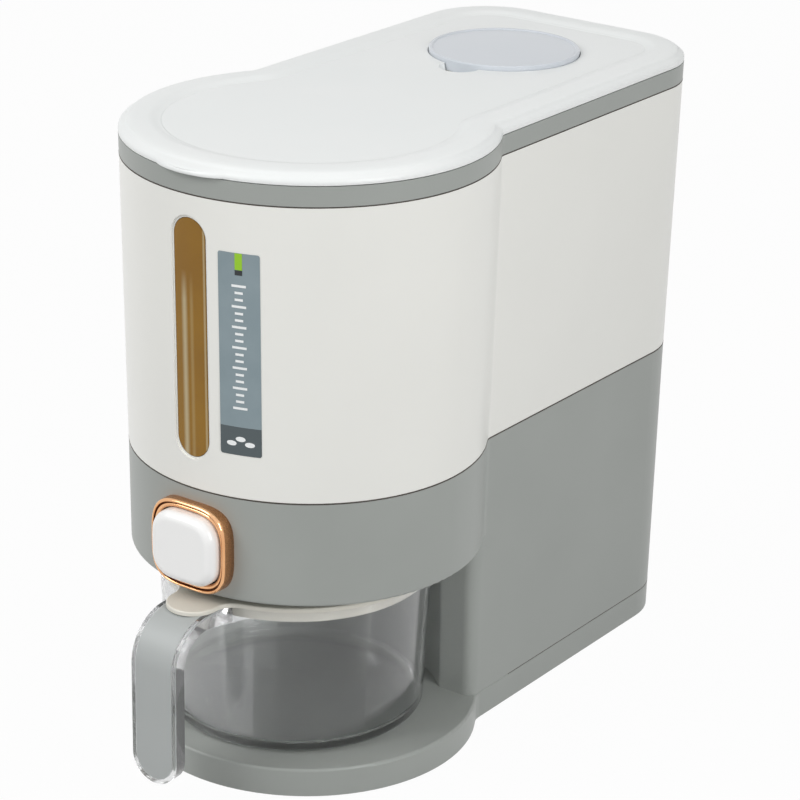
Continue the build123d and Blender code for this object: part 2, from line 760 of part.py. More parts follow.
with BuildPart() as desiccant_cap:
    with BuildSketch(side_on()):
        with BuildLine():
            rim_top = Line((cap_back + disc_radius, disc_low), (cap_back + disc_radius, disc_high - disc_dome))
            ring_out = Line(rim_top @ 1, (cap_back + disc_radius - disc_dome, disc_high))
            ring_in = Line(ring_out @ 1, (cap_back + disc_radius - disc_ring, disc_high))
            step = Line(ring_in @ 1, (cap_back + disc_radius - disc_ring - disc_dome, disc_high - disc_dome))
            crown_reach = disc_radius - disc_ring - disc_dome
            crown_radius = (crown_reach ** 2 + disc_dome ** 2) / (2 * disc_dome)
            crown = CenterArc((cap_back, disc_high - crown_radius), crown_radius,
                              90 - degrees(asin(crown_reach / crown_radius)),
                              degrees(asin(crown_reach / crown_radius)))
            Polyline(crown @ 1, (cap_back, disc_high - disc_thick),
                     (cap_back + skirt_radius - disc_skirt_wall, disc_high - disc_thick),
                     (cap_back + skirt_radius - disc_skirt_wall, disc_low),
                     (cap_back + disc_radius, disc_low))
        make_face()
    revolve(axis=Axis((0, drum_y + cap_back, 0), (0, 0, 1)))
    # Groove for the seal
    with BuildSketch(at((disc_low + recess_floor - disc_thick) / 2, cap_back)):
        Circle(disc_radius + seal_wire)
        Circle(disc_radius - seal_wire, mode=Mode.SUBTRACT)
    extrude(amount=seal_wire, mode=Mode.SUBTRACT)

with BuildPart() as cap_seal:
    with BuildSketch(at((disc_low + recess_floor - disc_thick) / 2, cap_back)):
        Circle(disc_radius + disc_gap / 2)
        Circle(disc_radius - seal_wire, mode=Mode.SUBTRACT)
    extrude(amount=seal_wire)

with BuildPart() as desiccant_box:
    with BuildSketch(at(box_low, cap_back)):
        Circle(skirt_radius)
    extrude(amount=dry_box_depth)
    fillet(desiccant_box.edges().group_by(Axis.Z)[0], dry_box_wall)
    with BuildSketch(at(well_low - well_floor, cap_back)):
        Circle(ledge_radius + dry_box_flange)
    extrude(amount=-dry_box_wall)
    with BuildSketch(at(box_low + dry_box_floor, cap_back)):
        Circle(skirt_radius - dry_box_wall)
    extrude(amount=dry_box_depth, mode=Mode.SUBTRACT)
    # Slots that let the hopper's air reach the drying agent
    with BuildSketch(at(box_low, cap_back)):
        with PolarLocations(skirt_radius / 2 + dry_slot_width, dry_slots):
            SlotOverall(skirt_radius / 2, dry_slot_width)
    extrude(amount=dry_box_floor, mode=Mode.SUBTRACT)

# ---------------------------------------------------------------- cup
cup_low = base_top + cup_foot_gap
flange_top = bay_top - cup_headroom
cup_high = flange_top - cup_flange_thick
cup_axis = Axis((0, drum_y + cup_back, 0), (0, 0, 1))
cup_slope = (cup_rim_radius - cup_foot_radius) / (cup_high - cup_low)
wall_top = cup_high - cup_flange_thick


def cup_radius(height):
    """Outer radius of the cup's tapered wall at a height."""
    return cup_foot_radius + cup_slope * (height - cup_low)


def cup_body(outer_gap, low, corner):
    """Tapered round solid inside the cup's outer surface, from a height to the rim."""
    with BuildPart(mode=Mode.PRIVATE) as body:
        with BuildSketch(side_on()):
            with BuildLine():
                Polyline((cup_back, low), (cup_back + cup_radius(low) - outer_gap, low),
                         (cup_back + cup_radius(cup_high) - outer_gap, cup_high), (cup_back, cup_high),
                         close=True)
            make_face()
        revolve(axis=cup_axis)
        fillet(body.edges().group_by(Axis.Z)[0], corner)
    return body.part


def handle_bar(width, depth, tip, end):
    """Hooked bar along the handle's outer face, rounded at its free end, seen from the front."""
    with BuildPart(mode=Mode.PRIVATE) as bar:
        with BuildSketch(side_on(-width / 2)):
            with BuildLine():
                face_line = Line((-handle_face, tip), (-handle_face, cup_high - handle_bend))
                over = CenterArc((-handle_face + handle_bend, cup_high - handle_bend), handle_bend, 180, -90)
                top_line = Line(over @ 1, over @ 1 + (end, 0))
                down = Line(top_line @ 1, top_line @ 1 - (0, depth))
                under_line = Line(down @ 1, down @ 1 - (end, 0))
                CenterArc((-handle_face + handle_bend, cup_high - handle_bend), handle_bend - depth, 90, 90)
                back_line = Line((-handle_face + depth, cup_high - handle_bend), (-handle_face + depth, tip))
                Line(back_line @ 1, face_line @ 0)
            make_face()
        extrude(amount=width)
        with BuildSketch(facing(0, tip + width / 2)):
            Circle(width / 2)
            Rectangle(width, cup_high, align=(Align.CENTER, Align.MIN))
        extrude(amount=handle_face, mode=Mode.INTERSECT)
    return bar.part


inlay_tip = handle_tip + (handle_width - inlay_width) / 2
handle_run = handle_face - handle_bend + cup_back - cup_rim_radius + cup_wall

with BuildPart() as cup_bowl:
    add(handle_bar(handle_width, handle_thick, handle_tip, handle_run))
    # Web that deepens the bar where it leaves the cup
    with BuildSketch(side_on(-handle_width / 2)):
        with BuildLine():
            bar_low = cup_high - handle_thick
            web_top = Line((-handle_face + handle_bend, bar_low), (cup_back - cup_rim_radius + cup_wall, bar_low))
            web_end = Line(web_top @ 1, web_top @ 1 - (0, handle_root - handle_thick))
            Line(web_end @ 1, web_top @ 0)
        make_face()
    extrude(amount=handle_width)
    add(cup_body(0.0, cup_low, cup_corner))
    # Groove for the inlay, down the handle's face
    add(handle_bar(inlay_width + fit_gap, inlay_thick, inlay_tip - fit_gap / 2, inlay_end),
        mode=Mode.SUBTRACT)
    add(cup_body(cup_wall, cup_low + cup_floor, cup_corner), mode=Mode.SUBTRACT)

with BuildPart() as handle_inlay:
    add(handle_bar(inlay_width, inlay_thick, inlay_tip, inlay_end - fit_gap))

# The cup's lid: a thin flange over the rim, a plug inside it and a thumb tab over the handle
with BuildPart() as cup_lid:
    with BuildSketch(at(cup_high, cup_back)) as cup_lid_plan:
        Circle(cup_flange)
        with Locations((0, thumb_width / 2 - thumb_reach)):
            Circle(thumb_width / 2)
            Rectangle(thumb_width, thumb_reach - thumb_width / 2, align=(Align.CENTER, Align.MIN))
        thumb_corners = cup_lid_plan.vertices().filter_by(lambda v: abs(v.X) < thumb_width and v.Y < 0)
        fillet(thumb_corners.sort_by(Axis.Y)[-2:], (thumb_reach - cup_flange) / 2)
    extrude(amount=cup_flange_thick)
    fillet(cup_lid.edges().group_by(Axis.Z)[-1], cup_lid_edge)
    with BuildSketch(at(cup_high, cup_back)):
        Circle(cup_rim_radius - cup_wall - cup_plug_gap)
    extrude(amount=-cup_plug_depth)
    with BuildSketch(at(cup_high - cup_plug_depth, cup_back)):
        Circle(cup_rim_radius - cup_wall - cup_plug_gap - cup_plug_wall)
    extrude(amount=cup_plug_depth, mode=Mode.SUBTRACT)
    # Dished plate that leads the rice into the mouth
    dish_edge = cup_back + cup_rim_radius - cup_wall - cup_plug_gap - cup_plug_wall
    dish_mouth = cup_back + cup_lid_mouth
    with BuildSketch(at(cup_high, cup_back)):
        Circle(dish_edge - cup_back)
    extrude(amount=cup_flange_thick, mode=Mode.SUBTRACT)
    with BuildSketch(side_on()):
        with BuildLine():
            Polyline((dish_edge, flange_top), (dish_mouth, flange_top - cup_lid_dish),
                     (dish_mouth, cup_high - cup_lid_dish), (dish_edge, cup_high), close=True)
        make_face()
    revolve(axis=cup_axis)

# ---------------------------------------------------------------- one STEP file for each piece
pieces = {
    "base_plinth": base_plinth,
    "rubber_feet": rubber_feet,
    "base_screws": base_screws,
    "lower_housing": lower_housing,
    "hopper_funnel": hopper_funnel,
    "outlet_chute": outlet_chute,
    "gate_guide": gate_guide,
    "guide_screws": guide_screws,
    "gate_slide": gate_slide,
    "button_cap": button_cap,
    "button_stem": button_stem,
    "button_bezel": button_bezel,
    "bezel_retainer": bezel_retainer,
    "spring_post": spring_post,
    "return_spring": return_spring,
    "upper_shell": upper_shell,
    "sight_window": sight_window,
    "window_gasket": window_gasket,
    "rim_band": rim_band,
    "lid_shell": lid_shell,
    "lid_gasket": lid_gasket,
    "desiccant_cap": desiccant_cap,
    "desiccant_box": desiccant_box,
    "cap_seal": cap_seal,
    "cup_bowl": cup_bowl,
    "handle_inlay": handle_inlay,
    "cup_lid": cup_lid,
}
os.makedirs("parts", exist_ok=True)
for name, piece in pieces.items():
    piece.part.label = name
    export_step(piece.part, f"parts/{name}.step")
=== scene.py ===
"""Rice dispenser with a pull-out measuring cup: finishes, bezel, label, lid rim, light and camera.

Lengths are in metres. Heights run from the floor, and plans from the axis of the round drum.
"""
import math

import bmesh
import bpy
from mathutils import Matrix, Vector


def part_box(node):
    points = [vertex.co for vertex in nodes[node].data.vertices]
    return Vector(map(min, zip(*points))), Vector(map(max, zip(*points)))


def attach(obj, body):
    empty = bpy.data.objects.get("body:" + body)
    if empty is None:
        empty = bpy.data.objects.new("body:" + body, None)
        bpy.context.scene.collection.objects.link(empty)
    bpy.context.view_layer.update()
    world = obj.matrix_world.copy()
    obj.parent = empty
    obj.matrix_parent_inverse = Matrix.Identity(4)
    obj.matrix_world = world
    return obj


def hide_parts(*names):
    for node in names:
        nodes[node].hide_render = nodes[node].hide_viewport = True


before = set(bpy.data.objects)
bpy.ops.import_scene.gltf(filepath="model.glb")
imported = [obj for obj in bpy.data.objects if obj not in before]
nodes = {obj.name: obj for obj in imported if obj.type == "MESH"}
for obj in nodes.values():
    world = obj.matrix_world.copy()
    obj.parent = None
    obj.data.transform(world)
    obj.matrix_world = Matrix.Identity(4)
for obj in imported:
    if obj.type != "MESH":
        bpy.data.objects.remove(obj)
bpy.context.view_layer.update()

# ================================================================ grey plinth, lower housing and rim band
# Moulded pieces in the same mid-grey ABS with a green cast, satin from a spark-eroded tool. The
# plinth is screwed on from below, the housing leaves a bay for the cup, and the band lies on top.


def tint(red, green, blue):
    """A colour given 0 to 255, as the linear colour that a shader takes."""
    def linear(level):
        level = level / 255
        return level / 12.92 if level <= 0.04045 else ((level + 0.055) / 1.055) ** 2.4
    return (linear(red), linear(green), linear(blue), 1.0)


def moulding(name, base, shade, roughness, grain=1400.0, grain_depth=0.00002, coat=0.0, flow=14.0):
    """Moulded plastic: two close tones that drift with the melt's flow, and the tool's fine grain."""
    material = bpy.data.materials.new(name)
    material.use_nodes = True
    tree = material.node_tree
    shader = tree.nodes["Principled BSDF"]
    place = tree.nodes.new("ShaderNodeTexCoord")
    drift = tree.nodes.new("ShaderNodeTexNoise")
    drift.inputs["Scale"].default_value = flow
    drift.inputs["Detail"].default_value = 3.0
    tree.links.new(place.outputs["Object"], drift.inputs["Vector"])
    tones = tree.nodes.new("ShaderNodeValToRGB")
    tones.color_ramp.elements[0].position = 0.3
    tones.color_ramp.elements[0].color = shade
    tones.color_ramp.elements[1].position = 0.7
    tones.color_ramp.elements[1].color = base
    tree.links.new(drift.outputs["Fac"], tones.inputs["Fac"])
    tree.links.new(tones.outputs["Color"], shader.inputs["Base Color"])
    pits = tree.nodes.new("ShaderNodeTexNoise")
    pits.inputs["Scale"].default_value = grain
    pits.inputs["Detail"].default_value = 2.0
    tree.links.new(place.outputs["Object"], pits.inputs["Vector"])
    bump = tree.nodes.new("ShaderNodeBump")
    bump.inputs["Strength"].default_value = 0.25
    bump.inputs["Distance"].default_value = grain_depth
    tree.links.new(pits.outputs["Fac"], bump.inputs["Height"])
    tree.links.new(bump.outputs["Normal"], shader.inputs["Normal"])
    sheen_spots = tree.nodes.new("ShaderNodeMapRange")
    sheen_spots.inputs["To Min"].default_value = roughness - 0.04
    sheen_spots.inputs["To Max"].default_value = roughness + 0.04
    tree.links.new(drift.outputs["Fac"], sheen_spots.inputs["Value"])
    tree.links.new(sheen_spots.outputs["Result"], shader.inputs["Roughness"])
    shader.inputs["Coat Weight"].default_value = coat
    shader.inputs["Coat Roughness"].default_value = 0.12
    return material


def finish_node(name, material):
    """Gives a CAD node its finish."""
    piece = nodes[name]
    piece.data.materials.clear()
    piece.data.materials.append(material)


housing_grey = moulding("housing_grey_abs", tint(160, 164, 160), tint(155, 159, 155), 0.4)
finish_node("base_plinth", housing_grey)
finish_node("lower_housing", housing_grey)
finish_node("rim_band", housing_grey)

# ================================================================ feet and screws under the plinth
# Dark soft rubber feet pressed into rings under the plinth, and zinc-plated self-tapping screws.
foot_rubber = moulding("foot_rubber", tint(42, 42, 44), tint(34, 34, 36), 0.75, grain=2600.0)
finish_node("rubber_feet", foot_rubber)


def metal(name, base, shade, roughness, scratch=(900.0, 40.0, 900.0), grain_depth=0.00001):
    """Metal or metal plating with fine drawn lines that change its gloss."""
    material = bpy.data.materials.new(name)
    material.use_nodes = True
    tree = material.node_tree
    shader = tree.nodes["Principled BSDF"]
    shader.inputs["Metallic"].default_value = 1.0
    place = tree.nodes.new("ShaderNodeTexCoord")
    drawn = tree.nodes.new("ShaderNodeMapping")
    drawn.inputs["Scale"].default_value = scratch
    lines = tree.nodes.new("ShaderNodeTexNoise")
    lines.inputs["Scale"].default_value = 1.0
    lines.inputs["Detail"].default_value = 4.0
    tree.links.new(place.outputs["Object"], drawn.inputs["Vector"])
    tree.links.new(drawn.outputs["Vector"], lines.inputs["Vector"])
    tones = tree.nodes.new("ShaderNodeValToRGB")
    tones.color_ramp.elements[0].position = 0.3
    tones.color_ramp.elements[0].color = shade
    tones.color_ramp.elements[1].position = 0.7
    tones.color_ramp.elements[1].color = base
    tree.links.new(lines.outputs["Fac"], tones.inputs["Fac"])
    tree.links.new(tones.outputs["Color"], shader.inputs["Base Color"])
    gloss = tree.nodes.new("ShaderNodeMapRange")
    gloss.inputs["To Min"].default_value = max(roughness - 0.06, 0.02)
    gloss.inputs["To Max"].default_value = roughness + 0.06
    tree.links.new(lines.outputs["Fac"], gloss.inputs["Value"])
    tree.links.new(gloss.outputs["Result"], shader.inputs["Roughness"])
    bump = tree.nodes.new("ShaderNodeBump")
    bump.inputs["Strength"].default_value = 0.2
    bump.inputs["Distance"].default_value = grain_depth
    tree.links.new(lines.outputs["Fac"], bump.inputs["Height"])
    tree.links.new(bump.outputs["Normal"], shader.inputs["Normal"])
    return material


zinc_plate = metal("zinc_plate", tint(190, 190, 186), tint(165, 166, 164), 0.3)
finish_node("base_screws", zinc_plate)
finish_node("guide_screws", zinc_plate)

# ================================================================ hopper floor, chute and shutter
# Natural white moulded pieces inside the housing; the shutter is grey and slides under the funnel.
inner_white = moulding("inner_white", tint(226, 225, 219), tint(221, 220, 213), 0.5)
for inner in ("hopper_funnel", "outlet_chute", "gate_guide", "spring_post", "bezel_retainer", "button_stem"):
    finish_node(inner, inner_white)
gate_grey = moulding("gate_grey", tint(120, 122, 120), tint(112, 114, 112), 0.45)
finish_node("gate_slide", gate_grey)
spring_wire = metal("spring_wire", tint(205, 205, 205), tint(180, 180, 180), 0.18)
finish_node("return_spring", spring_wire)

# ================================================================ white push button
# A hollow white cap with a soft gloss, pushed on the stem; its face is slightly pillowed.
button_white = moulding("button_white", tint(250, 250, 249), tint(247, 247, 246), 0.28, coat=0.3)
finish_node("button_cap", button_white)

# ================================================================ rose-gold bezel
# Plated frame round the button: a speckled side wall, a polished ridge, a groove painted dark as painted
# shade and an inner ring that slopes to the cap. Moulded in one piece, plated, and held by a frame behind
# the wall.
mm = 0.001
button_middle = (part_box("button_bezel")[0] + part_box("button_bezel")[1]) / 2
bezel_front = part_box("button_bezel")[0].y
bezel_half = (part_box("button_bezel")[1].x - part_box("button_bezel")[0].x) / 2
cap_half_width = (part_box("button_cap")[1].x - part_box("button_cap")[0].x) / 2
cap_half_height = (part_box("button_cap")[1].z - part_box("button_cap")[0].z) / 2


def soft_square_ring(form, half_width, half_height, y, squareness, steps=96):
    """A ring of vertices on a rounded square that faces the front."""
    ring = []
    for step in range(steps):
        turn = 2 * math.pi * step / steps
        across = math.copysign(abs(math.cos(turn)) ** (2 / squareness), math.cos(turn)) * half_width
        up = math.copysign(abs(math.sin(turn)) ** (2 / squareness), math.sin(turn)) * half_height
        ring.append(form.verts.new((button_middle.x + across, y, button_middle.z + up)))
    return ring


def skin_between(form, first, second, slot=0):
    """Joins two rings of the same count with a band of smooth faces."""
    count = len(first)
    for step in range(count):
        face = form.faces.new((first[step], first[(step + 1) % count],
                               second[(step + 1) % count], second[step]))
        face.material_index = slot
        face.smooth = True


def finished_mesh(name, form, finishes, body):
    """Turns a mesh form into a named piece with its finishes, riding on a body."""
    bmesh.ops.recalc_face_normals(form, faces=form.faces)
    mesh = bpy.data.meshes.new(name)
    form.to_mesh(mesh)
    form.free()
    for finish in finishes:
        mesh.materials.append(finish)
    piece = bpy.data.objects.new(name, mesh)
    bpy.context.scene.collection.objects.link(piece)
    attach(piece, body)
    return piece


# Each step of the section: share of the way in to the cap's opening, depth behind the front, finish
bezel_section = (
    (0.00, 15.6, 1), (0.00, 2.2, 1), (0.00, 1.5, 1), (0.01, 1.2, 0), (0.05, 0.6, 0), (0.13, 0.15, 0),
    (0.22, 0.0, 0), (0.31, 0.12, 0), (0.36, 0.5, 0), (0.39, 1.25, 2), (0.47, 1.45, 2), (0.51, 1.1, 0),
    (0.57, 0.72, 0), (0.66, 0.6, 0), (0.80, 0.75, 0), (0.92, 1.05, 0), (0.98, 1.5, 0), (1.00, 2.2, 0),
    (1.00, 9.0, 2),
)
outer_squareness = 3.5
inner_squareness = 3.2
cap_room = 0.4 * mm
bezel_form = bmesh.new()
bezel_rings = []
for share, depth, slot in bezel_section:
    half_width = bezel_half + (cap_half_width + cap_room - bezel_half) * share
    half_height = bezel_half + (cap_half_height + cap_room - bezel_half) * share
    bezel_rings.append(soft_square_ring(bezel_form, half_width, half_height,
                                        bezel_front + depth * mm,
                                        outer_squareness + (inner_squareness - outer_squareness) * share))
for (first, second), (share, depth, slot) in zip(zip(bezel_rings, bezel_rings[1:]), bezel_section[1:]):
    skin_between(bezel_form, first, second, slot)
skin_between(bezel_form, bezel_rings[-1], bezel_rings[0], 2)

rose_gold = metal("rose_gold_polished", tint(242, 192, 146), tint(222, 164, 116), 0.1,
                  scratch=(60.0, 60.0, 60.0))
rose_side = metal("rose_gold_speckled", tint(226, 170, 122), tint(176, 122, 80), 0.34,
                  scratch=(1500.0, 1500.0, 1500.0), grain_depth=0.00006)
# The groove's dark brown is painted shade; it also covers the sleeve behind the cap and the bezel's back
# face.
groove_painted_shade = metal("rose_gold_groove_painted_shade", tint(74, 44, 30), tint(46, 28, 20), 0.3)
bezel = finished_mesh("plated_bezel", bezel_form, (rose_gold, rose_side, groove_painted_shade), "housing")
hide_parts("button_bezel")

# ================================================================ white hopper shell
# The tall white casing of the hopper, satin-glossy polypropylene with a warm white tone.
shell_white = moulding("shell_white", tint(238, 238, 233), tint(236, 236, 231), 0.34, coat=0.08)
finish_node("upper_shell", shell_white)

# ================================================================ label beside the window
# Printed plastic sticker on the drum: blue-grey field, green tab, a scale of white bars for the
# rice's level and a dark foot with three plain grains. It is left without words.
drum_middle = -57.7985 * mm  # the drum's axis, from the middle of the object's box
drum_low_radius = 80.6 * mm
seam_height = 145.2 * mm


def draft(height):
    """How far the casing's walls have leaned out at a height: less below the seam than above it."""
    return 0.0106 * min(height, seam_height) + 0.0168 * max(height - seam_height, 0.0)


def drum_skin(height):
    """Radius of the drum's surface at a height."""
    return drum_low_radius + draft(height)


def sticker_patch(form, left, right, low, high, lift, slot, columns=14, rows=1):
    """A patch laid on the drum. Left and right run round it from the front; low and high give heights."""
    grid = []
    for column in range(columns + 1):
        share = column / columns
        round_by = left + (right - left) * share
        bottom, top = low(share), high(share)
        line = []
        for row in range(rows + 1):
            height = bottom + (top - bottom) * row / rows
            radius = drum_skin(height) + lift
            turn = round_by / drum_skin(height)
            place = (radius * math.sin(turn), drum_middle - radius * math.cos(turn), height)
            line.append(form.verts.new(place))
        grid.append(line)
    for near, far in zip(grid, grid[1:]):
        for row in range(rows):
            face = form.faces.new((near[row], far[row], far[row + 1], near[row + 1]))
            face.material_index = slot
            face.smooth = True


def corner_cut(share, width, radius):
    """How far a rounded corner has risen at a share of the patch's width."""
    edge = min(share, 1 - share) * width
    return radius - math.sqrt(max(radius ** 2 - (radius - edge) ** 2, 0.0)) if edge < radius else 0.0


label_left = 15.3 * mm
label_right = 34.4 * mm
label_low = 166.0 * mm
label_high = 258.5 * mm
label_foot = 179.2 * mm
label_width = label_right - label_left
label_corner = 0.9 * mm
label_axis = label_left + 0.5 * label_width
film_lift = 0.1 * mm
print_lift = 0.16 * mm
label_form = bmesh.new()
sticker_patch(label_form, label_left, label_right, lambda share: label_foot,
              lambda share: label_high - corner_cut(share, label_width, label_corner), film_lift, 0, 40, 12)
sticker_patch(label_form, label_left, label_right,
              lambda share: label_low + corner_cut(share, label_width, label_corner),
              lambda share: label_foot, film_lift, 1, 40, 2)
tab_patch_half = 1.7 * mm
green_low = 251.0 * mm
green_high = 258.4 * mm
black_low = 248.6 * mm
black_high = 250.9 * mm
for low, high, ink in ((green_low, green_high, 2), (black_low, black_high, 3)):
    sticker_patch(label_form, label_axis - tab_patch_half, label_axis + tab_patch_half,
                  lambda share: low, lambda share: high, print_lift, ink)
scale_low = 188.0 * mm
scale_step = 3.1 * mm
bar_thick = 1.1 * mm
for mark in range(19):
    bar_half = 3.3 * mm if mark % 3 == 0 else 1.9 * mm
    bar_middle = scale_low + mark * scale_step
    sticker_patch(label_form, label_axis - bar_half, label_axis + bar_half,
                  lambda share: bar_middle - bar_thick / 2, lambda share: bar_middle + bar_thick / 2,
                  print_lift, 4)
grain_length = 4.6 * mm
grain_thick = 2.3 * mm
grain_tip = 0.02 * mm


def grain_half(share):
    """Half the height of a rice grain's outline at a share of its length."""
    return grain_thick / 2 * math.sqrt(max(1 - (2 * share - 1) ** 2, 0.0)) + grain_tip


for across, height in ((-4.2 * mm, 171.4 * mm), (0.0, 173.6 * mm), (4.2 * mm, 171.4 * mm)):
    grain_middle = label_axis + across
    sticker_patch(label_form, grain_middle - grain_length / 2, grain_middle + grain_length / 2,
                  lambda share: height - grain_half(share), lambda share: height + grain_half(share),
                  print_lift, 4, 20)
label_field = moulding("label_field", tint(137, 152, 158), tint(129, 145, 151), 0.36, grain=500.0, flow=60.0)
label_slate = moulding("label_slate", tint(80, 90, 93), tint(74, 84, 87), 0.36, grain=500.0)
label_green = moulding("label_green", tint(152, 203, 38), tint(146, 196, 34), 0.36, grain=500.0)
label_black = moulding("label_black", tint(40, 44, 46), tint(34, 38, 40), 0.36, grain=500.0)
label_white = moulding("label_white", tint(246, 248, 248), tint(240, 243, 243), 0.36, grain=500.0)
label = finished_mesh("level_label", label_form,
                      (label_field, label_slate, label_green, label_black, label_white), "housing")

# ================================================================ sight window and its gasket
# Amber strip let into the drum's front from inside, on a soft translucent seal. Pale streaks painted
# into its colour are painted reflections of the lamps, and a pale line near its right edge is a painted
# highlight.
amber = moulding("window_amber", tint(150, 108, 12), tint(140, 98, 8), 0.12, coat=0.2, flow=30.0)
amber_tree = amber.node_tree
amber_shader = amber_tree.nodes["Principled BSDF"]
amber_shader.inputs["Transmission Weight"].default_value = 0.04
amber_shader.inputs["IOR"].default_value = 1.49
amber_shader.inputs["Specular IOR Level"].default_value = 0.25


def soft_band(tree, level, middle, half_width):
    """One at the middle of a band of some level, falling softly to nought at its two edges."""
    away = tree.nodes.new("ShaderNodeMath")
    away.operation = "SUBTRACT"
    away.inputs[1].default_value = middle
    tree.links.new(level, away.inputs[0])
    size = tree.nodes.new("ShaderNodeMath")
    size.operation = "ABSOLUTE"
    tree.links.new(away.outputs["Value"], size.inputs[0])
    fall = tree.nodes.new("ShaderNodeMapRange")
    fall.interpolation_type = "SMOOTHSTEP"
    fall.inputs["From Min"].default_value = half_width
    fall.inputs["From Max"].default_value = 0.0
    tree.links.new(size.outputs["Value"], fall.inputs["Value"])
    return fall.outputs["Result"]


def mixed_in(tree, colour, share, tone):
    """Lays a tone over a colour by a share."""
    mix = tree.nodes.new("ShaderNodeMix")
    mix.data_type = "RGBA"
    tree.links.new(share, mix.inputs["Factor"])
    tree.links.new(colour, mix.inputs["A"])
    mix.inputs["B"].default_value = tone
    return mix.outputs["Result"]


def scaled_by(tree, first, second):
    """The product of two levels; the second may be a plain number."""
    times = tree.nodes.new("ShaderNodeMath")
    times.operation = "MULTIPLY"
    tree.links.new(first, times.inputs[0])
    if isinstance(second, float):
        times.inputs[1].default_value = second
    else:
        tree.links.new(second, times.inputs[1])
    return times.outputs["Value"]


# Painted reflections and a painted highlight: pale streaks that fade out towards the top, and a pale line
# near the right edge, mixed into the amber's colour.
painted_reflection_top = 246 * mm
painted_reflection_full = 232 * mm
amber_place = amber_tree.nodes.new("ShaderNodeTexCoord")
amber_axes = amber_tree.nodes.new("ShaderNodeSeparateXYZ")
amber_tree.links.new(amber_place.outputs["Object"], amber_axes.inputs["Vector"])
painted_reflection_fade = amber_tree.nodes.new("ShaderNodeMapRange")
painted_reflection_fade.inputs["From Min"].default_value = painted_reflection_top
painted_reflection_fade.inputs["From Max"].default_value = painted_reflection_full
amber_tree.links.new(amber_axes.outputs["Z"], painted_reflection_fade.inputs["Value"])
left_painted_reflection = scaled_by(amber_tree, soft_band(amber_tree, amber_axes.outputs["X"], -3.4 * mm, 2.2 * mm),
                        painted_reflection_fade.outputs["Result"])
right_painted_reflection = scaled_by(amber_tree, soft_band(amber_tree, amber_axes.outputs["X"], 0.6 * mm, 1.5 * mm),
                         painted_reflection_fade.outputs["Result"])
amber_tones = amber_shader.inputs["Base Color"].links[0].from_socket
amber_tones = mixed_in(amber_tree, amber_tones, scaled_by(amber_tree, left_painted_reflection, 0.8), tint(196, 182, 146))
amber_tones = mixed_in(amber_tree, amber_tones, scaled_by(amber_tree, right_painted_reflection, 0.35),
                       tint(190, 168, 118))
painted_edge_highlight = soft_band(amber_tree, amber_axes.outputs["X"], 7.6 * mm, 0.9 * mm)
amber_tones = mixed_in(amber_tree, amber_tones, scaled_by(amber_tree, painted_edge_highlight, 0.6), tint(206, 190, 150))
amber_tree.links.new(amber_tones, amber_shader.inputs["Base Color"])
finish_node("sight_window", amber)
seal_clear = moulding("seal_silicone", tint(176, 176, 168), tint(166, 166, 158), 0.4, coat=0.2)
for seal in ("window_gasket", "lid_gasket", "cap_seal"):
    finish_node(seal, seal_clear)

# ================================================================ lid
# White lift-off lid: a thin lip, a broad rounded rim and a shallow recess, with a crescent of a
# finger tab at the front. The rim's soft outer skin is drawn over the lid's plainer solid.
lid_white = moulding("lid_white", tint(240, 242, 241), tint(237, 240, 239), 0.38, coat=0.05)
finish_node("lid_shell", lid_white)
lid_under = 290.2 * mm
drum_steps = 96
crease_steps = 20
side_steps = 12
corner_steps = 24
rear_steps = 6
box_half = 67.5 * mm
box_rear = 221.9 * mm
crease_radius = 10.0 * mm
corner_radius = 34.0 * mm


def casing_outline(height, inset):
    """The casing's plan at a height, set in from its surface: matching points all the way round."""
    reach = draft(height) - inset
    drum = drum_low_radius + reach
    half = box_half + reach
    rear = box_rear + reach
    crease = crease_radius - reach
    corner = corner_radius + reach
    crease_back = math.sqrt((drum + crease) ** 2 - (half + crease) ** 2)
    turn = math.atan2(crease_back, half + crease)
    points = []
    for step in range(drum_steps):
        angle = -math.pi / 2 + (turn + math.pi / 2) * step / drum_steps
        points.append((drum * math.cos(angle), drum * math.sin(angle)))
    for step in range(crease_steps):
        angle = math.pi + turn * (1 - step / crease_steps)
        points.append((half + crease + crease * math.cos(angle), crease_back + crease * math.sin(angle)))
    for step in range(side_steps):
        points.append((half, crease_back + (rear - corner - crease_back) * step / side_steps))
    for step in range(corner_steps):
        angle = math.pi / 2 * step / corner_steps
        points.append((half - corner + corner * math.cos(angle), rear - corner + corner * math.sin(angle)))
    for step in range(rear_steps):
        points.append(((half - corner) * (1 - step / rear_steps), rear))
    points.append((0.0, rear))
    mirrored = [(-x, y) for x, y in reversed(points[1:-1])]
    return points + mirrored


tab_half = 19.0 * mm
tab_reach = 3.0 * mm
tab_fullness = 2.6


def tab_bulge(x, y, share):
    """Pushes the front of the lid's edge out to the crescent tab, by a share of its full reach."""
    if y > 0 or abs(x) > tab_half:
        return x, y
    radius = math.hypot(x, y)
    bulge = tab_reach * (1 - (abs(x) / tab_half) ** tab_fullness) * share
    return x * (radius + bulge) / radius, y * (radius + bulge) / radius


